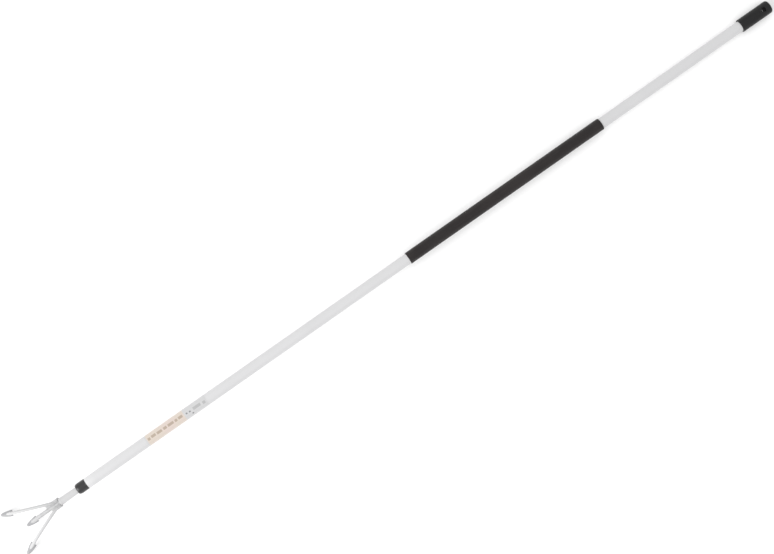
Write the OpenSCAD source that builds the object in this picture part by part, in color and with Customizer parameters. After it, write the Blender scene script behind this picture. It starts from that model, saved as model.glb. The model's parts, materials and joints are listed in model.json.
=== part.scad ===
// Long-handled hand cultivator: a tubular handle with a soft sleeve and a hanging cap,
// and a welded three-tine head whose neck is held in a moulded ferrule.
// Every piece is drawn about the tube's axis, +X towards the cap and the tube's lower end at
// the origin. rest_pose() then lays the whole tool on the ground, on its two side blades and
// the lower edge of its cap. The head is drawn pointing forwards along +X and turned round.

/* [Handle tube] */
// Outer diameter of the tube
tube_d = 20; // [18:0.5:24]
// Wall thickness of the tube
tube_wall = 1.2; // [1:0.1:1.6]
// Bare length from the ferrule to the cap's mouth
tube_run = 1414; // [1200:1:1700]

/* [Grip sleeve] */
// Distance from the tube's lower end to the sleeve
sleeve_start = 685; // [400:1:700]
// Length of the sleeve
sleeve_len = 420; // [200:1:480]
// Thickness of the sleeve
sleeve_wall = 1.2; // [0.8:0.1:2.5]
// Rounding of the sleeve's two ends
sleeve_round = 0.6; // [0.2:0.1:0.8]

/* [End cap] */
// Outer diameter of the cap
cap_d = 24.3; // [24.2:0.1:27]
// Length of the cap
cap_len = 65; // [55:1:90]
// Length of tube inside the cap
cap_depth = 40; // [25:1:42]
// Rounding of the closed end
cap_round = 6; // [3:0.5:8]
// Rounding of the mouth
cap_lip = 0.7; // [0.3:0.1:0.9]
// Diameter of the hanging hole
hang_d = 9; // [6:0.5:10]
// Distance from the closed end to the hole's centre
hang_inset = 15; // [13:0.5:17]

/* [Ferrule] */
// Length of the collar outside the tube
collar_len = 20; // [14:0.5:30]
// Length of the rounded part of the collar
collar_round = 6.5; // [4:0.5:9]
// Diameter of the collar's blunt front
collar_tip_d = 14.6; // [14.4:0.1:16]
// Length of the spigot inside the tube
spigot_len = 48; // [40:1:70]

/* [Tang] */
// Diameter of the tang's shank, inside the ferrule
tang_d = 11.6; // [10:0.1:12]
// Diameter of the tang's front end
tang_front_d = 13.4; // [13:0.1:14]
// Length of tang in front of the ferrule
tang_run = 36.5; // [25:0.5:50]
// Length of shank inside the tube
tang_hold = 44; // [36:1:48]
// Chamfer round the tang's front end
tang_chamfer = 0.8; // [0.3:0.1:1.2]

/* [Lock pin] */
// Diameter of the pin
pin_d = 4; // [3:0.5:5]
// Distance from the tube's lower end to the pin
pin_x = 26; // [15:1:34]
// Diameter of the pin's head
pin_head_d = 7.4; // [6.5:0.1:9]
// Height of the head below the tube
pin_head_h = 1.3; // [1:0.1:2]

/* [Tines] */
// Diameter of the centre rod
centre_rod_d = 7; // [6:0.5:8]
// Diameter of the two side rods
side_rod_d = 5.5; // [5:0.5:6.5]
// Depth of the centre rod's socket in the tang
socket_depth = 14; // [8:1:20]
// Length over which the side rods lie against the centre rod, to the corner of their bend
lap_len = 12.8; // [9:0.1:20]
// Angle at which the side rods spread, seen from above
splay = 21.2; // [14:0.2:28]
// Radius of the bend that spreads them
splay_r = 14; // [10:1:20]
// Reach of a side tine from the corner of its bend
side_reach = 101; // [90:0.2:120]
// Reach of the centre tine from the tang
centre_reach = 80.2; // [74:0.2:100]
// Slope at the end of a side rod's long curve
side_slope = 14; // [8:1:20]
// Slope at the end of the centre rod's long curve
centre_slope = 18; // [8:1:24]
// Radius of the short curve down to the blade
crook_r = 34; // [24:1:40]

/* [Blades] */
// Slope of the blades below the handle
blade_slope = 40; // [30:1:50]
// Length of a blade's neck, behind its shoulders
neck_len = 5; // [4:0.5:8]
// Width of the neck
neck_w = 5; // [4:0.1:6]
// Length from the shoulders to the point
point_len = 33; // [26:0.5:38]
// Width across the shoulders
blade_w = 11.6; // [10:0.1:14]
// How far the shoulders sweep back
barb = 1.6; // [0.5:0.1:2.5]
// Radius of the point
point_r = 2.2; // [1.5:0.1:3]
// Thickness at the ridge
ridge_t = 3.2; // [2:0.1:3.5]
// Thickness at the edges
edge_t = 0.9; // [0.8:0.1:1.5]
// Length of the bevel down to the point
bevel_len = 9; // [6:0.5:12]
// Length of rod that lies on a blade
rod_lap = 15; // [10:0.5:20]
// Length of the taper on the rod's end
rod_taper = 3; // [1:0.5:5]

/* [Welds] */
// Radius of the beads between the rods
hub_bead_r = 1.5; // [1.2:0.1:1.7]
// Length of the beads between the rods
hub_bead_len = 12; // [5:0.5:12]
// Length of the web in the right fork, from the corner of the rod's bend
right_web = 12.2; // [5:0.2:14]
// Length of the web in the left fork
left_web = 6.2; // [5:0.2:14]
// Radius of the bead at each side rod's end
butt_bead_r = 2.2; // [1.8:0.1:2.6]
// Radius of the beads along a blade
blade_bead_r = 1.1; // [0.9:0.1:1.3]
// Length of the beads along a blade
blade_bead_len = 9; // [6:0.5:12]

/* [Label] */
// Distance from the tube's lower end to the label
label_start = 126; // [80:1:200]
// Length of the label
label_len = 127; // [60:1:200]
// Thickness of the label's film
label_t = 0.15; // [0.1:0.05:0.3]

/* [Hidden] */
$fn = 64;
eps = 0.01;
cut_over = 1;

tube_r = tube_d / 2;
tube_id = tube_d - 2 * tube_wall;
tube_len = tube_run + cap_depth;
cap_r = cap_d / 2;
cap_end = tube_run + cap_len;
hang_x = cap_end - hang_inset;
tang_front = collar_len + tang_run;
blade_len = neck_len + point_len;
side_y = (centre_rod_d + side_rod_d) / 2;
splay_run = splay_r * tan(splay / 2);

// Horizontal reach and drop of an arc of radius r whose slope goes from a to b
function arc_reach(r, a, b) = r * (sin(b) - sin(a));
function arc_drop(r, a, b) = r * (cos(a) - cos(b));

// Radius of the long curve that brings a blade's point to the wanted reach
function long_r(reach, slope) =
    (reach - arc_reach(crook_r, slope, blade_slope) - blade_len * cos(blade_slope)) / sin(slope);
side_long_r = long_r(side_reach - splay_run, side_slope);
centre_long_r = long_r(centre_reach, centre_slope);

// A side blade's point, on its lower face: reach from the bend's corner, and height
point_k = side_rod_d / 2 + ridge_t;
point_reach = side_reach - point_k * sin(blade_slope);
point_z = -arc_drop(side_long_r, 0, side_slope) - arc_drop(crook_r, side_slope, blade_slope)
    - blade_len * sin(blade_slope) - point_k * cos(blade_slope);
point_x = -(tang_front + lap_len + point_reach * cos(splay));

// The ground line touches the points and the round lower edge of the cap
edge_x = cap_end - cap_round;
edge_z = -(cap_r - cap_round);
ground_dx = edge_x - point_x;
ground_dz = point_z - edge_z;
tilt = asin(-cap_round / norm([ground_dx, ground_dz])) - atan2(ground_dz, ground_dx);
lift = point_x * sin(tilt) - point_z * cos(tilt);
// Thickness of a blade's point, which is the tool's foremost spot
tip_t = 1;
front_x = -(tang_front + lap_len + (point_reach + tip_t * sin(blade_slope)) * cos(splay));
front_world = front_x * cos(tilt) + (point_z + tip_t) * sin(tilt);
back_world = edge_x * cos(tilt) + edge_z * sin(tilt) + cap_round;
shift = -(front_world + back_world) / 2;

// Lays the tool on the ground with its origin under the middle of its box
module rest_pose() {
    translate([shift, 0, lift]) rotate([0, tilt, 0]) children();
}

// Puts a shape drawn up +Z at x and turns it along +X
module along_x(x) {
    translate([x, 0, 0]) rotate([0, 90, 0]) children();
}

// Turns the head, drawn forwards along +X, to point away from the handle
module head() {
    mirror([1, 0, 0]) children();
}

// A solid of revolution's profile with its outer corners rounded: r wide, h high
module round_profile(r, h, low_round, high_round) {
    difference() {
        square([r, h]);
        corner(r, 0, low_round, 1);
        corner(r, h, high_round, -1);
    }
}

// What a corner's rounding takes away at radius r and height z; side is 1 for a lower corner
module corner(r, z, round_r, side) {
    translate([r, z]) difference() {
        translate([-round_r, side > 0 ? -cut_over : -round_r])
            square([round_r + cut_over, round_r + cut_over]);
        translate([-round_r, side * round_r]) circle(r = round_r);
    }
}

/* Handle */

module handle_tube() {
    color([0.86, 0.86, 0.87]) difference() {
        along_x(0) cylinder(d = tube_d, h = tube_len);
        along_x(-cut_over) cylinder(d = tube_id, h = tube_len + 2 * cut_over);
        pin_hole();
    }
}

module grip_sleeve() {
    color([0.17, 0.15, 0.15]) along_x(sleeve_start) difference() {
        rotate_extrude() round_profile(tube_r + sleeve_wall, sleeve_len, sleeve_round, sleeve_round);
        translate([0, 0, -cut_over]) cylinder(d = tube_d, h = sleeve_len + 2 * cut_over);
    }
}

module end_cap() {
    color([0.16, 0.16, 0.17]) difference() {
        along_x(tube_run) rotate_extrude() round_profile(cap_r, cap_len, cap_lip, cap_round);
        along_x(tube_run - cut_over) cylinder(d = tube_d, h = cap_depth + cut_over);
        translate([hang_x, 0, -cap_r - cut_over]) cylinder(d = hang_d, h = cap_d + 2 * cut_over);
    }
}

module label() {
    color([0.93, 0.85, 0.78]) along_x(label_start) difference() {
        cylinder(r = tube_r + label_t, h = label_len);
        translate([0, 0, -cut_over]) cylinder(d = tube_d, h = label_len + 2 * cut_over);
    }
}

/* Ferrule, tang and lock pin */

// The collar's profile: full width at the tube, an elliptical shoulder, a blunt front
collar_steps = 12;
collar_profile = concat(
    [[0, 0], [tube_r, 0]],
    [for (i = [0 : collar_steps]) let (a = 90 * i / collar_steps) [
        collar_tip_d / 2 + (tube_r - collar_tip_d / 2) * cos(a),
        collar_len - collar_round * (1 - sin(a))
    ]],
    [[0, collar_len]]
);

module ferrule() {
    color([0.17, 0.17, 0.18]) difference() {
        union() {
            head() along_x(0) rotate_extrude() polygon(collar_profile);
            along_x(-eps) cylinder(d = tube_id, h = spigot_len + eps);
        }
        along_x(-collar_len - cut_over) cylinder(d = tang_d, h = collar_len + spigot_len + 2 * cut_over);
        pin_hole();
    }
}

module tang() {
    color([0.84, 0.84, 0.85]) difference() {
        union() {
            along_x(-collar_len) cylinder(d = tang_d, h = collar_len + tang_hold);
            head() along_x(collar_len)
                cylinder(d1 = tang_d, d2 = tang_front_d, h = tang_run - tang_chamfer);
            head() along_x(tang_front - tang_chamfer)
                cylinder(d1 = tang_front_d, d2 = tang_front_d - 2 * tang_chamfer, h = tang_chamfer);
        }
        head() along_x(tang_front - socket_depth) cylinder(d = centre_rod_d, h = socket_depth + cut_over);
        pin_hole();
    }
}

// The hole for the pin, from below the tube up to the far side of the tang
module pin_hole() {
    translate([pin_x, 0, -tube_r - cut_over]) cylinder(d = pin_d, h = tube_r + cut_over + tang_d / 2);
}

// The pin's profile: a straight shank above a domed head, whose top meets the tube
dome_r = (pow(pin_head_d / 2, 2) + pow(pin_head_h, 2)) / (2 * pin_head_h);
dome_a = asin(pin_head_d / 2 / dome_r);
dome_steps = 8;
pin_profile = concat(
    [for (i = [0 : dome_steps]) let (a = dome_a * i / dome_steps)
        [dome_r * sin(a), dome_r * (1 - cos(a))]],
    [
        [pin_d / 2, pin_head_h],
        [pin_d / 2, pin_head_h + tube_r + tang_d / 2],
        [0, pin_head_h + tube_r + tang_d / 2]
    ]
);

module lock_pin() {
    color([0.7, 0.7, 0.71]) translate([pin_x, 0, -tube_r - pin_head_h])
        rotate_extrude() polygon(pin_profile);
}

/* Tines */

// A rod is one swept solid: rings of points along its route, joined by flat facets. A station is
// [x, y, z, heading, slope, radius], drawn forwards along +X, heading towards +Y, slope downwards.
rod_sides = 24;
splay_steps = 4;
long_steps = 6;
crook_steps = 4;

function ring(st) = [for (i = [0 : rod_sides - 1]) let (
    a = 360 * i / rod_sides,
    side = st[5] * cos(a),
    up = st[5] * sin(a)
) [
    st[0] - side * sin(st[3]) + up * sin(st[4]) * cos(st[3]),
    st[1] + side * cos(st[3]) + up * sin(st[4]) * sin(st[3]),
    st[2] + up * cos(st[4])
]];

module swept(stations) {
    last = len(stations) - 1;
    polyhedron(
        points = [for (st = stations) each ring(st)],
        faces = concat(
            [[for (i = [0 : rod_sides - 1]) i]],
            [for (k = [0 : last - 1], i = [0 : rod_sides - 1]) let (n = (i + 1) % rod_sides)
                [k * rod_sides + i, (k + 1) * rod_sides + i, (k + 1) * rod_sides + n, k * rod_sides + n]],
            [[for (i = [rod_sides - 1 : -1 : 0]) last * rod_sides + i]]
        )
    );
}

// Reach, drop and slope at the end of a rod's long curve of radius r, and at the end of its crook
function after_long(r, slope) = [arc_reach(r, 0, slope), arc_drop(r, 0, slope), slope];
function after_crook(r, slope) = [
    arc_reach(r, 0, slope) + arc_reach(crook_r, slope, blade_slope),
    arc_drop(r, 0, slope) + arc_drop(crook_r, slope, blade_slope),
    blade_slope
];

// The part of a rod that slopes down to its blade, with a tapered end: [reach, drop, slope, radius]
function rod_down(d, r, slope) = let (mid = after_long(r, slope), end = after_crook(r, slope)) concat(
    [for (i = [0 : long_steps]) let (a = slope * i / long_steps)
        [arc_reach(r, 0, a), arc_drop(r, 0, a), a, d / 2]],
    [for (i = [1 : crook_steps]) let (a = slope + (blade_slope - slope) * i / crook_steps)
        [mid[0] + arc_reach(crook_r, slope, a), mid[1] + arc_drop(crook_r, slope, a), a, d / 2]],
    [for (l = [rod_lap - rod_taper, rod_lap]) let (rod_r = l < rod_lap ? d / 2 : d / 4)
        [end[0] + l * cos(blade_slope), end[1] + l * sin(blade_slope), blade_slope, rod_r]]
);

// Where a side rod leaves its bend
bend_x = tang_front + lap_len - splay_run;
bend_end = [bend_x + splay_r * sin(splay), side_y + splay_r * (1 - cos(splay))];

centre_route = concat(
    [[tang_front - socket_depth, 0, 0, 0, 0, centre_rod_d / 2]],
    [for (q = rod_down(centre_rod_d, centre_long_r, centre_slope))
        [tang_front + q[0], 0, -q[1], 0, q[2], q[3]]]
);
side_route = concat(
    [[tang_front, side_y, 0, 0, 0, side_rod_d / 2]],
    [for (i = [0 : splay_steps - 1]) let (a = splay * i / splay_steps)
        [bend_x + splay_r * sin(a), side_y + splay_r * (1 - cos(a)), 0, a, 0, side_rod_d / 2]],
    [for (q = rod_down(side_rod_d, side_long_r, side_slope))
        [bend_end[0] + q[0] * cos(splay), bend_end[1] + q[0] * sin(splay), -q[1], splay, q[2], q[3]]]
);

// Draws its children for side 1, the right tine at +Y, or mirrored for side -1, the left one
module on_side(side) {
    scale([1, side, 1]) children();
}

module centre_tine() {
    color([0.84, 0.84, 0.85]) head() swept(centre_route);
}

module side_tine(side) {
    color([0.84, 0.84, 0.85]) head() on_side(side) swept(side_route);
}

// Children at the start of a blade: its frame has the rod's axis along +X
module at_centre_blade() {
    end = after_crook(centre_long_r, centre_slope);
    translate([tang_front + end[0], 0, -end[1]]) rotate([0, blade_slope, 0]) children();
}

module at_side_blade() {
    end = after_crook(side_long_r, side_slope);
    translate([bend_end[0], bend_end[1], 0]) rotate([0, 0, splay])
        translate([end[0], 0, -end[1]]) rotate([0, blade_slope, 0]) children();
}

/* Blades */

// Sides of a blade: an arc of radius flank_r from the shoulder runs into the round point
flank_dx = point_len - point_r;
flank_r = (flank_dx * flank_dx / (blade_w / 2 - point_r) + blade_w / 2 + point_r) / 2;
flank_a = asin(flank_dx / (flank_r - point_r));
flank_steps = 8;
point_steps = 6;

// One side of the outline, from the neck round to the middle of the point
half_outline = concat(
    [[0, neck_w / 2], [neck_len + barb, neck_w / 2]],
    [for (i = [0 : flank_steps]) let (a = flank_a * i / flank_steps)
        [neck_len + flank_r * sin(a), blade_w / 2 - flank_r * (1 - cos(a))]],
    [for (i = [1 : point_steps]) let (a = flank_a + (90 - flank_a) * i / point_steps)
        [blade_len - point_r + point_r * sin(a), point_r * cos(a)]]
);
last_half = len(half_outline) - 1;
blade_outline = concat(
    half_outline,
    [for (i = [last_half - 1 : -1 : 0]) [half_outline[i][0], -half_outline[i][1]]]
);

// A blade under a rod of diameter d: flat below, ridged above, bevelled towards its point
module blade(d) {
    color([0.72, 0.72, 0.74]) translate([0, 0, -d / 2 - ridge_t]) difference() {
        intersection() {
            linear_extrude(height = ridge_t) polygon(blade_outline);
            along_x(0) linear_extrude(height = blade_len) polygon([
                [0, -blade_w / 2], [-edge_t, -blade_w / 2], [-ridge_t, 0],
                [-edge_t, blade_w / 2], [0, blade_w / 2]
            ]);
        }
        translate([blade_len, 0, tip_t]) rotate([0, atan2(ridge_t - tip_t, bevel_len), 0])
            translate([-2 * bevel_len, -blade_w, 0]) cube([3 * bevel_len, 2 * blade_w, ridge_t * 2]);
    }
}

module centre_blade() {
    head() at_centre_blade() blade(centre_rod_d);
}

module side_blade(side) {
    head() on_side(side) at_side_blade() blade(side_rod_d);
}

/* Welds */

// A bead of radius r and length l along +X with round ends
module bead(r, l) {
    translate([r, 0, 0]) {
        sphere(r = r);
        rotate([0, 90, 0]) cylinder(r = r, h = l - 2 * r);
        translate([l - 2 * r, 0, 0]) sphere(r = r);
    }
}

// Beads between the rods start just clear of the tang, and lie a little below the rods' tops and
// a little outside the line where the rods touch
bead_clear = 0.5;
bead_sink = 0.1;
bead_out = 0.25;
valley_y = centre_rod_d / 2 + bead_out;
valley_z = centre_rod_d / 2 - hub_bead_r - bead_sink;

// The beads that hold one side rod to the centre rod and to the tang
module hub_beads() {
    difference() {
        union() {
            for (z = [-valley_z, valley_z])
                translate([tang_front + bead_clear, valley_y, z]) bead(hub_bead_r, hub_bead_len);
            translate([tang_front, tang_front_d / 2, 0]) sphere(r = butt_bead_r);
        }
        along_x(tang_front) cylinder(d = centre_rod_d, h = lap_len);
        translate([0, side_y, 0]) along_x(tang_front) cylinder(d = side_rod_d, h = lap_len);
        along_x(tang_front - lap_len) cylinder(d = tang_front_d, h = lap_len);
    }
}

// Past the beads a web of weld fills the fork between the centre rod and the side rod. It starts
// where the rods have parted enough, and its rings follow the facing sides of both. In these
// functions t is the distance from the tang.
splay_start = lap_len - splay_run;
web_delay = 2.4;
web_start = splay_start + web_delay;
web_arc = 45;
web_end_arc = 25;
web_end_len = 1.5;
arc_steps = 3;
web_steps = 4;
web_points = 2 * (2 * arc_steps + 1);

function heading(t) = asin(min(sin(splay), (t - splay_start) / splay_r));
function past_bend(t) = max(0, t - splay_start - splay_r * sin(splay)) / cos(splay);
function side_out(t) = side_y + splay_r * (1 - cos(heading(t))) + past_bend(t) * sin(splay);
function sag(r, run) = r - sqrt(r * r - run * run);

// Points at t on the facing side of a rod of radius r: its middle at y, its half width w
function facing(t, y, drop, w, r, arc) = [for (i = [-arc_steps : arc_steps]) let (a = arc * i / arc_steps)
    [tang_front + t, y + w * cos(a), r * sin(a) - drop]];

function web_ring(t, arc) = let (
    centre_r = centre_rod_d / 2,
    side_r = side_rod_d / 2,
    inner = facing(t, 0, sag(centre_long_r, t), centre_r, centre_r, arc),
    outer = facing(t, side_out(t), sag(side_long_r, past_bend(t)), -side_r / cos(heading(t)), side_r, arc)
) concat(outer, [for (i = [2 * arc_steps : -1 : 0]) inner[i]]);

module web(length) {
    end = lap_len + length;
    full = end - web_end_len;
    rings = concat(
        [for (i = [0 : web_steps]) web_ring(web_start + (full - web_start) * i / web_steps, web_arc)],
        [web_ring(end, web_end_arc)]
    );
    last = len(rings) - 1;
    polyhedron(
        points = [for (r = rings) each r],
        faces = concat(
            [[for (i = [0 : web_points - 1]) i]],
            [for (k = [0 : last - 1], i = [0 : web_points - 1]) let (
                n = (i + 1) % web_points,
                low = k * web_points,
                high = low + web_points
            ) each [[low + i, high + i, high + n], [low + i, high + n, low + n]]],
            [[for (i = [web_points - 1 : -1 : 0]) last * web_points + i]]
        )
    );
}

// All the weld that holds one side rod
module hub_weld(side) {
    color([0.78, 0.78, 0.79]) head() on_side(side) {
        hub_beads();
        web(side > 0 ? right_web : left_web);
    }
}

// Where a rod meets its blade: the beads' start, and their share of the rod's radius outwards
blade_bead_x = 2;
blade_bead_out = 0.75;

// The two beads that hold a rod of diameter d on its blade
module blade_beads(d) {
    color([0.78, 0.78, 0.79]) difference() {
        for (side = [-1, 1])
            translate([blade_bead_x, side * blade_bead_out * d / 2, -d / 2 - bead_sink])
                bead(blade_bead_r, blade_bead_len);
        translate([-cut_over, 0, 0]) rotate([0, 90, 0]) cylinder(d = d, h = rod_lap);
        blade(d);
    }
}

module centre_blade_weld() {
    head() at_centre_blade() blade_beads(centre_rod_d);
}

module side_blade_weld(side) {
    head() on_side(side) at_side_blade() blade_beads(side_rod_d);
}

rest_pose() handle_tube();
rest_pose() grip_sleeve();
rest_pose() end_cap();
rest_pose() ferrule();
rest_pose() tang();
rest_pose() lock_pin();
rest_pose() centre_tine();
rest_pose() side_tine(-1);  // left_tine
rest_pose() side_tine(1);  // right_tine
rest_pose() centre_blade();
rest_pose() side_blade(-1);  // left_blade
rest_pose() side_blade(1);  // right_blade
rest_pose() hub_weld(-1);  // left_hub_weld
rest_pose() hub_weld(1);  // right_hub_weld
rest_pose() centre_blade_weld();
rest_pose() side_blade_weld(-1);  // left_blade_weld
rest_pose() side_blade_weld(1);  // right_blade_weld
rest_pose() label();
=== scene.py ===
import json
import math

import bmesh
import bpy
import numpy as np
from mathutils import Matrix, Vector, noise


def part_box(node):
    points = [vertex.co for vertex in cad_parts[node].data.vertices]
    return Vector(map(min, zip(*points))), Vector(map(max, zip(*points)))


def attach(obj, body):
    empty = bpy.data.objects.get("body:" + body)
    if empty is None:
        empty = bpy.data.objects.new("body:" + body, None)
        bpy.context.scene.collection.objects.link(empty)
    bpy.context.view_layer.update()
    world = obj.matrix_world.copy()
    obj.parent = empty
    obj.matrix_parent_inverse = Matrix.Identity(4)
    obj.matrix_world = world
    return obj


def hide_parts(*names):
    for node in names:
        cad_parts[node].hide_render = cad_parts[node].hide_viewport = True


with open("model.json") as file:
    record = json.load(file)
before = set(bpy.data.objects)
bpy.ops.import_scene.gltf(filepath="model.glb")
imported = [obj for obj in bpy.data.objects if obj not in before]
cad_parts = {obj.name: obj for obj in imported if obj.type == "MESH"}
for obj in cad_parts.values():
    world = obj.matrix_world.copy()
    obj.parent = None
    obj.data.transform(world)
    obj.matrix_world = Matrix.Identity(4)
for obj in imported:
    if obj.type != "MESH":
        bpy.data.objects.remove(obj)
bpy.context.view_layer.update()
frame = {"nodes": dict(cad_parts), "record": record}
NODES = frame["nodes"]
MOUNTS = {m["name"]: m for m in frame["record"]["mounts"]}

# ---------------------------------------------------------------- the tool's own axes
# Pieces are drawn in millimetres about the tube's axis: +X towards the cap, 0 at the tube's
# lower end. REST lays them in the frame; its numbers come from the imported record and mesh.
MM = 0.001
clip = MOUNTS["rack_clip_seat"]
AXIS = Vector(clip["axis"])
TUBE_R = clip["dims"]["r_mm"]
TILT = math.asin(-AXIS.z)


def tube_start():
    """The middle of the tube's lower end, from the box of the tilted tube."""
    low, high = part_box("handle_tube")
    half = ((high.x - low.x) / 2 - TUBE_R * MM * math.sin(TILT)) / math.cos(TILT)
    return (low + high) / 2 - AXIS * half


REST = Matrix.Translation(tube_start()) @ Matrix.Rotation(TILT, 4, "Y") @ Matrix.Scale(MM, 4)
TO_TOOL = REST.inverted()


def tool_points(node):
    """A CAD node's vertices in the tool's own axes, in millimetres."""
    return np.array([TO_TOOL @ v.co for v in NODES[node].data.vertices])


def extent(node):
    """A CAD node's lowest and highest X and its largest radius about the tube's axis."""
    p = tool_points(node)
    return p[:, 0].min(), p[:, 0].max(), np.hypot(p[:, 1], p[:, 2]).max()


def radius_at(node, x, within=0.02):
    """A CAD node's largest radius about the tube's axis where it has vertices beside x."""
    p = tool_points(node)
    near = p[np.abs(p[:, 0] - x) < within]
    return np.hypot(near[:, 1], near[:, 2]).max()


def pin_sizes():
    """The lock pin's place along the tube, shank radius, head radius, lowest and highest point.
    The shank's circle has corners in the CAD mesh, so its radius is rounded."""
    p = tool_points("lock_pin")
    low, high = p[:, 2].min(), p[:, 2].max()
    tip = p[p[:, 2] > high - 0.01]
    shank_r = round(np.ptp(tip[:, 0]) / 2, 2)
    return (p[:, 0].min() + p[:, 0].max()) / 2, shank_r, np.ptp(p[:, 0]) / 2, low, high


# ---------------------------------------------------------------- node helpers
class Graph:
    """Short ways to add the nodes that the materials below share."""

    def __init__(self, tree):
        self.tree = tree

    def node(self, kind, **values):
        n = self.tree.nodes.new(kind)
        for key, value in values.items():
            setattr(n, key, value)
        return n

    def link(self, source, target):
        self.tree.links.new(source, target)

    def put(self, socket, value):
        if isinstance(value, bpy.types.NodeSocket):
            self.link(value, socket)
        else:
            socket.default_value = value

    def tool_coords(self):
        """Millimetres in the tool's own axes, as a vector."""
        coords = self.node("ShaderNodeTexCoord")
        place = self.node("ShaderNodeMapping", vector_type="TEXTURE")
        place.inputs["Location"].default_value = REST.translation
        place.inputs["Rotation"].default_value = (0, TILT, 0)
        place.inputs["Scale"].default_value = (MM, MM, MM)
        self.link(coords.outputs["Object"], place.inputs["Vector"])
        return place.outputs[0]

    def stretch(self, vector, scale):
        n = self.node("ShaderNodeMapping")
        n.inputs["Scale"].default_value = scale
        self.link(vector, n.inputs["Vector"])
        return n.outputs[0]

    def noise(self, vector, scale, detail=2.0, roughness=0.5):
        n = self.node("ShaderNodeTexNoise")
        self.link(vector, n.inputs["Vector"])
        n.inputs["Scale"].default_value = scale
        n.inputs["Detail"].default_value = detail
        n.inputs["Roughness"].default_value = roughness
        return n.outputs["Fac"]

    def cells(self, vector, scale):
        n = self.node("ShaderNodeTexVoronoi")
        self.link(vector, n.inputs["Vector"])
        n.inputs["Scale"].default_value = scale
        return n.outputs["Distance"]

    def math(self, kind, a, b=0.0):
        n = self.node("ShaderNodeMath", operation=kind)
        self.put(n.inputs[0], a)
        self.put(n.inputs[1], b)
        return n.outputs[0]

    def ramp(self, value, low, high, to_low=0.0, to_high=1.0):
        """A smooth step from to_low at low to to_high at high."""
        n = self.node("ShaderNodeMapRange", interpolation_type="SMOOTHSTEP")
        self.put(n.inputs["Value"], value)
        n.inputs["From Min"].default_value = low
        n.inputs["From Max"].default_value = high
        n.inputs["To Min"].default_value = to_low
        n.inputs["To Max"].default_value = to_high
        return n.outputs["Result"]

    def fall(self, value, low, high):
        """A smooth step from 1 at low to 0 at high."""
        return self.ramp(value, low, high, 1.0, 0.0)

    def span(self, value, first, last, soft):
        """1 between first and last, with edges that fade over soft on each side."""
        rise = self.ramp(value, first - soft, first + soft)
        return self.math("MULTIPLY", rise, self.fall(value, last - soft, last + soft))

    def mix(self, factor, a, b):
        """Colour a where factor is 0 and b where it is 1. A plain colour is three numbers."""
        n = self.node("ShaderNodeMix", data_type="RGBA")
        self.put(n.inputs["Factor"], factor)
        for socket, colour in zip(self.colours(n.inputs), (a, b)):
            self.put(socket, colour if isinstance(colour, bpy.types.NodeSocket) else (*colour, 1.0))
        return self.colours(n.outputs)[0]

    @staticmethod
    def colours(sockets):
        return [s for s in sockets if s.type == "RGBA"]

    def bump(self, height, depth_mm, normal=None):
        n = self.node("ShaderNodeBump")
        n.inputs["Strength"].default_value = 1.0
        n.inputs["Distance"].default_value = depth_mm * MM
        self.link(height, n.inputs["Height"])
        if normal is not None:
            self.link(normal, n.inputs["Normal"])
        return n.outputs[0]

    def xyz(self, vector):
        n = self.node("ShaderNodeSeparateXYZ")
        self.link(vector, n.inputs[0])
        return n.outputs


# ---------------------------------------------------------------- materials
def new_material(name):
    """A material, the Graph that adds to its nodes, and its shader."""
    mat = bpy.data.materials.new(name)
    mat.use_nodes = True
    tree = mat.node_tree
    tree.nodes.clear()
    out = tree.nodes.new("ShaderNodeOutputMaterial")
    shader = tree.nodes.new("ShaderNodeBsdfPrincipled")
    tree.links.new(shader.outputs[0], out.inputs[0])
    return mat, Graph(tree), shader


def coated(name, base, wear_and_shade, rough=0.42, grain=1.0, wear=0.5, painted_shade=0.0):
    """Satin coating on metal: orange peel, faint drawing lines, scuffs and thin spots. The last
    argument, from 0 to 1, paints shade in blotches round the joint of rods and tang, and all along the
    centre rod."""
    mat, g, shader = new_material(name)
    at = g.tool_coords()
    cloud = g.noise(at, 0.012, 3.0)
    peel = g.noise(at, 0.9, 2.0, 0.55)
    lines = g.noise(g.stretch(at, (0.02, 1.6, 1.6)), 1.0, 3.0, 0.6)
    scuffs = g.ramp(g.noise(g.stretch(at, (0.05, 0.6, 0.6)), 1.0, 5.0, 0.7), 0.62, 0.72)
    specks = g.ramp(g.noise(at, 0.55, 3.0, 0.6), 0.70, 0.76)
    tone = g.mix(g.ramp(cloud, 0.3, 0.7), base, [c * 0.965 for c in base])
    tone = g.mix(g.math("MULTIPLY", scuffs, 0.22 * wear), tone, wear_and_shade)
    tone = g.mix(g.math("MULTIPLY", specks, 0.30 * wear), tone, wear_and_shade)
    # Painted shade: darkens the coating round the joint of rods and tang and all along the centre rod,
    # towards the same colour as the wear.
    if painted_shade:
        tone = g.mix(g.math("MULTIPLY", painted_hub_shade(g, at), painted_shade), tone, wear_and_shade)
    g.link(tone, shader.inputs["Base Color"])
    roughness = g.math("ADD", g.ramp(cloud, 0.25, 0.75, rough - 0.04, rough + 0.04),
                       g.math("MULTIPLY", scuffs, 0.14))
    g.link(roughness, shader.inputs["Roughness"])
    fine = g.bump(peel, 0.06 * grain)
    g.link(g.bump(lines, 0.03 * grain, fine), shader.inputs["Normal"])
    shader.inputs["Coat Weight"].default_value = 0.12
    shader.inputs["Coat Roughness"].default_value = 0.3
    return mat


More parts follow.
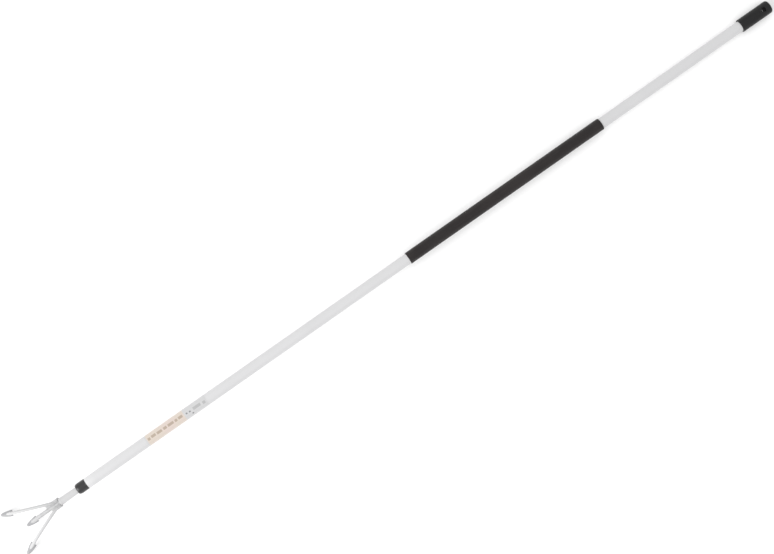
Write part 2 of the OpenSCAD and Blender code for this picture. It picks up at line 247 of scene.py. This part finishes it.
def painted_hub_shade(g, at):
    """Painted shade: blotches at the tang's front end and on the centre rod, which fade out away from
    them.
    """
    x, y, _ = g.xyz(at)
    front = extent("tang")[0]
    rod_r = radius_at("centre_tine", front)
    hub = g.math("MULTIPLY", g.ramp(x, front - 30, front - 12), g.fall(x, front + 1, front + 9))
    beside = g.fall(g.math("ABSOLUTE", y), rod_r, rod_r + 0.9)
    rod = g.math("MULTIPLY", beside, g.fall(x, front - 2, front + 3))
    blotches = g.ramp(g.noise(at, 0.22, 4.0, 0.65), 0.35, 0.62, 0.25, 1.0)
    return g.math("MULTIPLY", g.math("MAXIMUM", hub, rod), blotches)


def moulded(name, base, scuffed, rough, grain_mm, specular):
    """Black plastic from a spark-eroded mould: fine grain, flow marks and pale rubbed spots."""
    mat, g, shader = new_material(name)
    at = g.tool_coords()
    grain = g.noise(at, 1 / grain_mm, 3.0, 0.65)
    flow = g.noise(g.stretch(at, (0.03, 0.12, 0.12)), 1.0, 3.0)
    rub = g.ramp(g.noise(at, 0.35, 5.0, 0.7), 0.60, 0.75)
    tone = g.mix(g.ramp(flow, 0.3, 0.7), base, [c * 1.35 for c in base])
    tone = g.mix(g.math("MULTIPLY", rub, 0.35), tone, scuffed)
    g.link(tone, shader.inputs["Base Color"])
    g.link(g.math("ADD", g.ramp(grain, 0.3, 0.7, rough - 0.05, rough + 0.06),
                  g.math("MULTIPLY", rub, 0.1)), shader.inputs["Roughness"])
    g.link(g.bump(grain, 0.09), shader.inputs["Normal"])
    shader.inputs["Specular IOR Level"].default_value = specular
    return mat


def foam(name):
    """Soft foam rubber: closed cells, a skin with faint pulls along its length, rubbed patches."""
    mat, g, shader = new_material(name)
    at = g.tool_coords()
    cells = g.cells(at, 2.2)
    fine = g.noise(at, 3.0, 3.0, 0.6)
    pulls = g.noise(g.stretch(at, (0.025, 0.5, 0.5)), 1.0, 4.0, 0.6)
    patches = g.noise(at, 0.02, 4.0, 0.6)
    tone = g.mix(g.ramp(patches, 0.35, 0.65), (0.0125, 0.0098, 0.0098), (0.021, 0.017, 0.0165))
    tone = g.mix(g.math("MULTIPLY", g.ramp(pulls, 0.55, 0.75), 0.5), tone, (0.034, 0.029, 0.028))
    g.link(tone, shader.inputs["Base Color"])
    g.link(g.ramp(patches, 0.3, 0.7, 0.56, 0.68), shader.inputs["Roughness"])
    skin = g.bump(g.math("ADD", cells, fine), 0.12)
    g.link(g.bump(pulls, 0.10, skin), shader.inputs["Normal"])
    shader.inputs["Specular IOR Level"].default_value = 0.3
    shader.inputs["Sheen Weight"].default_value = 0.05
    shader.inputs["Sheen Roughness"].default_value = 0.5
    return mat


def ground_steel(name, base, dark, metallic, rough, along):
    """Steel with cloudy stains and grinding lines. along scales the lines' pattern on each axis,
    so they run in the direction where it is smallest."""
    mat, g, shader = new_material(name)
    at = g.tool_coords()
    lines = g.noise(g.stretch(at, along), 1.0, 4.0, 0.65)
    cloud = g.noise(at, 0.12, 4.0, 0.6)
    tone = g.mix(g.ramp(cloud, 0.35, 0.7), base, [c * 0.9 for c in base])
    tone = g.mix(g.math("MULTIPLY", g.ramp(lines, 0.5, 0.8), 0.35), tone, dark)
    g.link(tone, shader.inputs["Base Color"])
    g.link(g.ramp(lines, 0.3, 0.7, rough - 0.06, rough + 0.08), shader.inputs["Roughness"])
    g.link(g.bump(lines, 0.04), shader.inputs["Normal"])
    shader.inputs["Metallic"].default_value = metallic
    return mat


def bars(g, x, across, start, places, half_height):
    """1 inside any of the bars. Each of places is (first, last, middle): where the bar starts and
    ends in millimetres from start, and where its middle line is across the label."""
    soft = 0.35
    total = None
    for first, last, middle in places:
        off = g.math("ABSOLUTE", g.math("SUBTRACT", across, middle))
        inside = g.math("MULTIPLY", g.span(x, start + first, start + last, soft),
                        g.fall(off, half_height - soft, half_height + soft))
        total = inside if total is None else g.math("MAXIMUM", total, inside)
    return total


def printed(name):
    """The label: clear film with a peach panel, a row of plain brown bars and grey blocks."""
    mat, g, shader = new_material(name)
    at = g.tool_coords()
    x, y, z = g.xyz(at)
    across = g.math("MULTIPLY", g.math("ARCTAN2", y, z), -TUBE_R)
    start = extent("label")[0]
    ink = g.noise(at, 1.6, 3.0, 0.6)
    blush = g.noise(at, 0.05, 1.0)
    peach = g.mix(g.ramp(blush, 0.4, 0.6), (0.61, 0.54, 0.472), (0.62, 0.53, 0.48))
    tone = g.mix(g.span(x, start + 2.7, start + 80.1, 0.5), (0.545, 0.545, 0.55), peach)
    dashes = [(4.5, 9.5, -0.6), (12.0, 21.0, -1.3), (23.5, 34.0, -0.8), (37.0, 44.0, -0.9),
              (46.5, 58.5, -0.9), (61.0, 66.0, -0.6), (68.5, 77.0, -0.9)]
    brown = bars(g, x, across, start, dashes, 2.4)
    tone = g.mix(g.math("MULTIPLY", brown, g.ramp(ink, 0.25, 0.6, 0.5, 0.8)), tone, (0.33, 0.255, 0.19))
    squares = [(84.0, 87.0, 0.2), (90.5, 93.5, 0.6), (94.0, 97.0, 6.4)]
    black = bars(g, x, across, start, squares, 1.3)
    tone = g.mix(g.math("MULTIPLY", black, 0.75), tone, (0.08, 0.085, 0.09))
    blocks = [(99.0, 114.5, 0.0), (118.5, 124.0, 1.2)]
    grey = bars(g, x, across, start, blocks, 2.6)
    tone = g.mix(g.math("MULTIPLY", grey, g.ramp(ink, 0.25, 0.6, 0.3, 0.6)), tone, (0.28, 0.28, 0.28))
    g.link(tone, shader.inputs["Base Color"])
    g.link(g.ramp(ink, 0.2, 0.8, 0.26, 0.36), shader.inputs["Roughness"])
    g.link(g.bump(g.noise(at, 0.5, 2.0), 0.04), shader.inputs["Normal"])
    shader.inputs["Coat Weight"].default_value = 0.25
    shader.inputs["Coat Roughness"].default_value = 0.18
    return mat


PALE = (0.60, 0.60, 0.606)
STEEL = (0.30, 0.30, 0.31)
MATERIALS = {
    "tube": coated("tube_coating", PALE, STEEL),
    # The tang, tine and weld coatings carry painted shade round the hub and along the centre rod.
    "tang": coated("tang_coating", (0.55, 0.55, 0.553), STEEL, rough=0.45, grain=1.4, wear=0.7, painted_shade=0.25),
    "tine": coated("tine_coating", (0.515, 0.515, 0.518), (0.27, 0.27, 0.275),
                   rough=0.5, grain=1.4, wear=0.9, painted_shade=0.42),
    "weld": coated("weld_coating", (0.46, 0.46, 0.463), (0.24, 0.24, 0.245),
                   rough=0.55, grain=2.2, wear=1.2, painted_shade=0.35),
    "sleeve": foam("sleeve_foam"),
    "cap": moulded("cap_plastic", (0.0075, 0.0075, 0.0078), (0.035, 0.035, 0.035),
                   rough=0.5, grain_mm=0.5, specular=0.28),
    "ferrule": moulded("ferrule_plastic", (0.014, 0.014, 0.015), (0.08, 0.08, 0.08),
                       rough=0.36, grain_mm=0.6, specular=0.6),
    "blade": ground_steel("blade_steel", (0.36, 0.36, 0.37), (0.17, 0.17, 0.175),
                          metallic=0.5, rough=0.40, along=(0.15, 2.2, 0.8)),
    "pin": ground_steel("pin_steel", (0.55, 0.55, 0.56), STEEL,
                        metallic=1.0, rough=0.34, along=(1.5, 1.5, 0.4)),
    "label": printed("label_film"),
}


# ---------------------------------------------------------------- mesh helpers
# Metres between vertices of a profile that are one point, and across a face left by accident
SAME_POINT = 1e-7
SLIVER = 2e-6


def rounded(points, steps=6):
    """A polyline [(x, r)] from points [(x, r, fillet)], its corners rounded by arcs of steps."""
    out = []
    for i, (x, r, fillet) in enumerate(points):
        here = Vector((x, r))
        if fillet <= 0 or i in (0, len(points) - 1):
            out.append((x, r))
            continue
        before = Vector(points[i - 1][:2]) - here
        after = Vector(points[i + 1][:2]) - here
        turn = before.angle(after)
        reach = min(fillet / math.tan(turn / 2), before.length * 0.49, after.length * 0.49)
        radius = reach * math.tan(turn / 2)
        bisector = (before.normalized() + after.normalized()).normalized()
        centre = here + bisector * (radius / math.sin(turn / 2))
        first = here + before.normalized() * reach - centre
        last = here + after.normalized() * reach - centre
        sweep = first.angle_signed(last)
        for k in range(steps + 1):
            p = centre + Matrix.Rotation(-sweep * k / steps, 2) @ first
            out.append((p.x, p.y))
    return out


def lathe(profile, sides=96, closed=False, radius=None):
    """Vertices and faces of a profile [(x, r)] turned about X. A closed profile is a ring's
    section, and radius(x, r, angle) may change r."""
    verts, faces, rings = [], [], []
    for x, r in profile:
        if r == 0:
            rings.append([len(verts)])
            verts.append((x, 0, 0))
            continue
        ring = []
        for k in range(sides):
            a = 2 * math.pi * k / sides
            here = radius(x, r, a) if radius else r
            ring.append(len(verts))
            verts.append((x, here * math.sin(a), here * math.cos(a)))
        rings.append(ring)
    following = rings[1:] + rings[:1] if closed else rings[1:]
    for low, high in zip(rings, following):
        for k in range(sides):
            n = (k + 1) % sides
            if len(low) == 1 and len(high) > 1:
                faces.append((low[0], high[n], high[k]))
            elif len(high) == 1 and len(low) > 1:
                faces.append((low[k], low[n], high[0]))
            elif len(low) > 1:
                faces.append((low[k], low[n], high[n], high[k]))
    return verts, faces


def spaced(a, b, step):
    """Numbers from just after a to b, about step apart."""
    count = max(1, round(abs(b - a) / step))
    return [a + (b - a) * i / count for i in range(1, count + 1)]


def mesh_from(name, verts, faces):
    """A clean mesh in the frame, from vertices in tool millimetres."""
    mesh = bpy.data.meshes.new(name)
    mesh.from_pydata(verts, [], faces)
    mesh.transform(REST)
    bm = bmesh.new()
    bm.from_mesh(mesh)
    bmesh.ops.remove_doubles(bm, verts=bm.verts, dist=SAME_POINT)
    bmesh.ops.recalc_face_normals(bm, faces=bm.faces)
    bm.to_mesh(mesh)
    bm.free()
    return mesh


def add_object(name, data):
    obj = bpy.data.objects.new(name, data)
    bpy.context.scene.collection.objects.link(obj)
    return obj


def make(name, shape, slot, nodes):
    """A piece from (vertices, faces) in tool millimetres that stands for the CAD nodes."""
    obj = add_object(name, mesh_from(name, *shape))
    finish_piece(obj, slot, nodes)
    return obj


def finish_piece(obj, slot, nodes, sharp=35):
    """Gives a piece its material and its smooth shading with edges over sharp degrees kept,
    parents it to the root body's empty and hides the CAD nodes it stands for."""
    mesh = obj.data
    mesh.materials.clear()
    mesh.materials.append(MATERIALS[slot])
    mesh.shade_smooth()
    mesh.set_sharp_from_angle(angle=math.radians(sharp))
    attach(obj, "root")
    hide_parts(*nodes)


def applied(obj):
    """Bakes an object's modifiers into its mesh."""
    depsgraph = bpy.context.evaluated_depsgraph_get()
    mesh = bpy.data.meshes.new_from_object(obj.evaluated_get(depsgraph))
    old = obj.data
    obj.modifiers.clear()
    obj.data = mesh
    bpy.data.meshes.remove(old)


def cut(obj, shape):
    """Cuts a closed shape, (vertices, faces) in tool millimetres, out of obj."""
    mesh = mesh_from("cutter", *shape)
    cutter = add_object("cutter", mesh)
    m = obj.modifiers.new("cut", "BOOLEAN")
    m.operation = "DIFFERENCE"
    m.solver = "EXACT"
    m.object = cutter
    applied(obj)
    bpy.data.objects.remove(cutter)
    bpy.data.meshes.remove(mesh)
    mend(obj)


def mend(obj, smallest=40):
    """Splits many-sided faces, and drops collapsed ones and crumbs of under smallest vertices."""
    bm = bmesh.new()
    bm.from_mesh(obj.data)
    bmesh.ops.triangulate(bm, faces=[f for f in bm.faces if len(f.verts) > 4], ngon_method="EAR_CLIP")
    bmesh.ops.remove_doubles(bm, verts=bm.verts, dist=SLIVER)
    bmesh.ops.dissolve_degenerate(bm, dist=SLIVER, edges=bm.edges)
    seen, crumbs = set(), []
    for start in bm.verts:
        if start in seen:
            continue
        island, to_visit = {start}, [start]
        while to_visit:
            for edge in to_visit.pop().link_edges:
                for v in edge.verts:
                    if v not in island:
                        island.add(v)
                        to_visit.append(v)
        seen |= island
        if len(island) < smallest:
            crumbs += island
    bmesh.ops.delete(bm, geom=crumbs, context="VERTS")
    bm.to_mesh(obj.data)
    bm.free()


def upright(profile, x, sides=48):
    """A profile [(height, r)] turned about a line that crosses the tube's axis upwards at x."""
    verts, faces = lathe(profile, sides)
    return [(x + v[1], v[2], v[0]) for v in verts], faces


# ---------------------------------------------------------------- handle
def build_tube():
    """The tube with its edges chamfered and the pin's hole drilled in its underside."""
    x0, x1, r = extent("handle_tube")
    p = tool_points("handle_tube")
    bore = np.hypot(p[:, 1], p[:, 2]).min()
    pin_x, pin_r, _, _, _ = pin_sizes()
    chamfer = 0.3
    ease = 0.1
    eased_r = r - 0.09
    outer = [(x, r) for x in spaced(x0 + chamfer, x1 - chamfer, 18)]
    profile = [(x0, r - chamfer), (x0 + ease, eased_r), (x0 + chamfer, r), *outer,
               (x1 - ease, eased_r), (x1, r - chamfer)]
    profile += [(x1, bore), *[(x, bore) for x in spaced(x1, x0, 60)]]
    obj = make("tube_coated", lathe(profile, closed=True), "tube", ["handle_tube"])
    below = -r - 4
    cut(obj, upright([(below, 0), (below, pin_r), (0, pin_r), (0, 0)], pin_x))
    finish_piece(obj, "tube", ["handle_tube"])


def build_sleeve():
    """The sleeve, with rounded lips and a skin that rises and falls a little."""
    x0, x1, r = extent("grip_sleeve")
    inner = TUBE_R + 0.02
    lip = 0.6
    end = 8
    dent = 0.07
    waves_along = 0.03
    waves_round = 0.8

    def uneven(x, radius, angle):
        if radius < r - lip:
            return radius
        place = (x * waves_along, math.sin(angle) * waves_round, math.cos(angle) * waves_round)
        return radius - dent - dent * noise.noise(Vector(place))

    profile = rounded([(x0, inner, 0), (x0, r, lip), (x0 + end, r, 0)])
    profile += [(x, r) for x in spaced(x0 + end, x1 - end, 4)]
    profile += rounded([(x1 - end, r, 0), (x1, r, lip), (x1, inner, 0)])[1:]
    profile += [(x, inner) for x in spaced(x1, x0, 60)][:-1]
    make("sleeve_rubber", lathe(profile, closed=True, radius=uneven), "sleeve", ["grip_sleeve"])


def build_cap():
    """The cap, with a rounded lip and end and a hanging hole that flares at both mouths."""
    x0, x1, r = extent("end_cap")
    hole = MOUNTS["hanging_hole"]
    hole_x = (TO_TOOL @ Vector(hole["pos_m"])).x
    hole_r = hole["dims"]["r_mm"]
    depth = extent("handle_tube")[1]
    lip = 0.7
    lip_end = x0 + 3
    dome = 6
    dome_start = x1 - 8
    skin = 0.3
    ridge = 0.05
    narrowness = 900

    def parting(x, radius, angle):
        """A fine moulding line along each side, with the skin a little lower elsewhere."""
        if radius < r - skin:
            return radius
        line = max(0.0, 1 - abs(abs(math.sin(angle)) - 1) * narrowness)
        return radius + ridge * line - ridge

    profile = [(depth, 0), (depth, TUBE_R), *[(x, TUBE_R) for x in spaced(depth, x0, 8)][:-1]]
    profile += rounded([(x0, TUBE_R, 0), (x0, r, lip), (lip_end, r, 0)])
    profile += [(x, r) for x in spaced(lip_end, dome_start, 3)]
    profile += rounded([(dome_start, r, 0), (x1, r, dome), (x1, 0, 0)], 12)[1:]
    obj = make("cap_moulded", lathe(profile, radius=parting), "cap", ["end_cap"])
    flare = 0.8
    clear = 4
    top = r + clear
    mouth_r = hole_r + flare + clear
    waist_r = hole_r - 0.06
    half = [(r - flare, hole_r), (top, mouth_r), (top, 0)]
    cutter = [(-z, radius) for z, radius in reversed(half)] + [(0, waist_r)] + half
    cut(obj, upright(cutter, hole_x))
    finish_piece(obj, "cap", ["end_cap"])


def build_label():
    """The label's film, a thin ring round the tube."""
    x0, x1, r = extent("label")
    inner = TUBE_R + 0.01
    edge = 0.05
    outer = [(x, r) for x in spaced(x0 + edge, x1 - edge, 6)]
    profile = [(x0, inner), (x0 + edge, r), *outer, (x1, inner)]
    profile += [(x, inner) for x in spaced(x1, x0, 20)][:-1]
    make("label_printed", lathe(profile, closed=True), "label", ["label"])


# ---------------------------------------------------------------- ferrule, tang and pin
SHANK_R = radius_at("tang", extent("tang")[1])


def build_ferrule():
    """A collar with a round nose and a fine groove, and its spigot. The tube's end is at 0."""
    x0, x1, r = extent("ferrule")
    p = tool_points("ferrule")
    radii = np.hypot(p[:, 1], p[:, 2])
    nose_r = radius_at("ferrule", x0)
    nose_end = p[radii > r - 0.001, 0].min()
    spigot_r = radius_at("ferrule", x1)
    chamfer = 0.8
    mouth_end = x0 + 0.9
    groove_x = -2.05
    groove_margin = 0.95
    groove = [(groove_x - 0.55, r), (groove_x - 0.35, r - 0.12), (groove_x - 0.15, r - 0.3),
              (groove_x + 0.15, r - 0.3), (groove_x + 0.35, r - 0.12), (groove_x + 0.55, r)]
    mouth = [(mouth_end, SHANK_R), (x0 + 0.5, SHANK_R + 0.25), (x0 + 0.35, SHANK_R + 0.6),
             (x0 + 0.05, nose_r - 0.5)]
    quarter = [math.pi / 2 * i / 12 for i in range(12, -1, -1)]
    nose = [(x0 + (nose_end - x0) * (1 - math.sin(a)), nose_r + (r - nose_r) * math.cos(a))
            for a in quarter]
    profile = mouth + nose + [(x, r) for x in spaced(nose_end, groove_x - groove_margin, 2)]
    profile += groove + [(-0.3, r), (0, r - 0.25), (0, spigot_r)]
    profile += [(x, spigot_r) for x in spaced(0, x1 - chamfer, 6)]
    profile += [(x1, spigot_r - chamfer), (x1, SHANK_R)]
    profile += [(x, SHANK_R) for x in spaced(x1, mouth_end, 8)][:-1]
    make("ferrule_moulded", lathe(profile, closed=True), "ferrule", ["ferrule"])


def build_tang():
    """A shank, then a neck that widens to its front, where the centre rod's socket is."""
    front, back, r = extent("tang")
    neck = extent("ferrule")[0]
    chamfer = 0.8
    socket_end = extent("centre_tine")[1]
    socket_r = radius_at("centre_tine", socket_end) + 0.05
    ease = 1.1
    profile = [(back, 0), (back, SHANK_R - chamfer), (back - chamfer, SHANK_R)]
    profile += [(x, SHANK_R) for x in spaced(back - chamfer, neck, 6)]
    profile += [(x, SHANK_R + (r - SHANK_R) * (neck - x) / (neck - front))
                for x in spaced(neck, front + ease, 2.5)]
    profile += [(front + 0.5, r - 0.18), (front + 0.15, r - 0.5), (front, r - 1.0), (front, socket_r)]
    profile += [(socket_end, socket_r - 0.03), (socket_end, 0)]
    make("tang_turned", lathe(profile), "tang", ["tang"])


def build_pin():
    """The pin, upright, with its domed head below the tube."""
    x, pin_r, head_r, low, high = pin_sizes()
    under_head = -TUBE_R
    head_h = under_head - low
    dome_h = head_h * 0.92
    chamfer = 0.4
    quarter = [math.pi / 2 * i / 10 for i in range(11)]
    dome = [(low + dome_h * (1 - math.cos(a)), head_r * math.sin(a)) for a in quarter]
    shank = [(z, pin_r) for z in spaced(under_head, high - chamfer, 3)]
    profile = [*dome, (under_head, head_r - 0.1), (under_head, pin_r), *shank,
               (high, pin_r - chamfer), (high, 0)]
    make("lock_pin_head", upright(profile, x), "pin", ["lock_pin"])


# ---------------------------------------------------------------- tines and blades
def cad_object(name, node):
    """An object with a CAD node's mesh, its triangles merged into the flat faces they make up."""
    bm = bmesh.new()
    bm.from_mesh(NODES[node].data)
    bmesh.ops.remove_doubles(bm, verts=bm.verts, dist=SLIVER)
    bmesh.ops.dissolve_limit(bm, angle_limit=math.radians(0.4), verts=bm.verts, edges=bm.edges)
    bmesh.ops.recalc_face_normals(bm, faces=bm.faces)
    mesh = bpy.data.meshes.new(name)
    bm.to_mesh(mesh)
    bm.free()
    return add_object(name, mesh)


def build_tine(name, node):
    """The CAD rod, smoothed, with a crease that keeps its many-sided flat ends fairly sharp."""
    obj = cad_object(name, node)
    mesh = obj.data
    end_edges = {edge for face in mesh.polygons if len(face.vertices) > 8 for edge in face.edge_keys}
    crease = mesh.attributes.new("crease_edge", "FLOAT", "EDGE")
    for edge in mesh.edges:
        if edge.key in end_edges:
            crease.data[edge.index].value = 0.75
    m = obj.modifiers.new("smooth", "SUBSURF")
    m.levels = m.render_levels = 2
    applied(obj)
    finish_piece(obj, "tine", [node], 60)


def build_blade(name, node):
    """The CAD blade with its edges eased."""
    obj = cad_object(name, node)
    m = obj.modifiers.new("edges", "BEVEL")
    m.width = 0.28 * MM
    m.segments = 3
    m.limit_method = "ANGLE"
    m.angle_limit = math.radians(18)
    applied(obj)
    finish_piece(obj, "blade", [node], 30)


# ---------------------------------------------------------------- welds
def longest(node):
    """The direction in which a CAD node is longest, in the tool's own axes."""
    points = tool_points(node)
    _, axes = np.linalg.eigh(np.cov((points - points.mean(axis=0)).T))
    return Vector(axes[:, -1])


def build_weld(name, node, along, middle):
    """The CAD weld remeshed finely, with the crescents and lumps that a hand-run bead has.
    Each crescent trails by its distance from the plane at middle on the tool's Y axis. The bead
    swells a little, so that it sinks into the steel on both sides of it."""
    pitch = 1.5
    trail = 0.45
    swell = 0.22
    crescent = 0.20
    lump = 0.10
    lumps_per_mm = 0.45
    obj = add_object(name, NODES[node].data.copy())
    voxels = obj.modifiers.new("voxels", "REMESH")
    voxels.mode = "VOXEL"
    voxels.voxel_size = 0.21 * MM
    soften = obj.modifiers.new("soften", "SMOOTH")
    soften.factor = 0.5
    soften.iterations = 4
    applied(obj)
    mend(obj)
    moves = []
    for v in obj.data.vertices:
        at = TO_TOOL @ v.co
        run = at.dot(along) + trail * abs(at.y - middle)
        dip = crescent * (1 - abs(math.sin(math.pi * run / pitch)))
        moves.append(v.normal * (swell - dip - lump * noise.noise(at * lumps_per_mm)) * MM)
    for v, move in zip(obj.data.vertices, moves):
        v.co += move
    finish_piece(obj, "weld", [node], 60)


# Millimetres from the tool's middle plane to the seam between the centre rod and each side rod
SEAM_Y = 4

build_tube()
build_sleeve()
build_cap()
build_label()
build_ferrule()
build_tang()
build_pin()
for side in ("centre", "left", "right"):
    build_tine(f"{side}_rod", f"{side}_tine")
    build_blade(f"{side}_spade", f"{side}_blade")
    build_weld(f"{side}_blade_beads", f"{side}_blade_weld", longest(f"{side}_blade"), 0)
for side, sign in (("left", -1), ("right", 1)):
    build_weld(f"{side}_hub_beads", f"{side}_hub_weld", Vector((1, 0, 0)), sign * SEAM_Y)


# ---------------------------------------------------------------- floor, light and camera
def build_floor():
    """White paper that glows a little, so that it stays white under the soft light."""
    half = 40
    corners = [(-half, -half, 0), (half, -half, 0), (half, half, 0), (-half, half, 0)]
    mesh = bpy.data.meshes.new("floor")
    mesh.from_pydata(corners, [], [(0, 1, 2, 3)])
    mat, _, shader = new_material("floor_paper")
    shader.inputs["Base Color"].default_value = (0.9, 0.9, 0.9, 1)
    shader.inputs["Emission Color"].default_value = (1, 1, 1, 1)
    shader.inputs["Emission Strength"].default_value = 0.11
    shader.inputs["Roughness"].default_value = 0.9
    shader.inputs["Specular IOR Level"].default_value = 0.1
    mesh.materials.append(mat)
    add_object("floor", mesh)


def aimed(position, target):
    """The rotation of a lamp at position that points at target."""
    return (Vector(target) - Vector(position)).to_track_quat("-Z", "Y").to_euler()


def build_light():
    """An even white room, and a large weak softbox far beyond the head."""
    world = bpy.data.worlds.new("studio")
    bpy.context.scene.world = world
    world.use_nodes = True
    background = world.node_tree.nodes["Background"]
    background.inputs["Color"].default_value = (1, 1, 1, 1)
    background.inputs["Strength"].default_value = 0.88
    lamp = bpy.data.lights.new("softbox", "AREA")
    lamp.shape = "RECTANGLE"
    lamp.size = 3.6
    lamp.size_y = 3.0
    lamp.energy = 190
    softbox = add_object("softbox", lamp)
    softbox.location = (-4.2, 0.05, 3.0)
    softbox.rotation_euler = aimed(softbox.location, (-0.4, 0, 0))
    softbox.visible_camera = False


def build_camera():
    """The camera looks almost straight down, turned so that the tool lies along a diagonal."""
    position = Vector((-0.1715, -0.0866, 3.1114))
    forward = Vector((0.0480, 0.0263, -0.9985)).normalized()
    roughly_up = Vector((0.5731, 0.8180, 0.0490))
    right = forward.cross(roughly_up).normalized()
    up = right.cross(forward)
    data = bpy.data.cameras.new("camera")
    data.sensor_width = 36
    data.lens = 81.395
    data.clip_end = 200
    camera = add_object("camera", data)
    turn = Matrix((right, up, -forward)).transposed().to_4x4()
    camera.matrix_world = Matrix.Translation(position) @ turn
    bpy.context.scene.camera = camera
    bpy.context.scene.view_settings.view_transform = "Standard"


build_floor()
build_light()
build_camera()
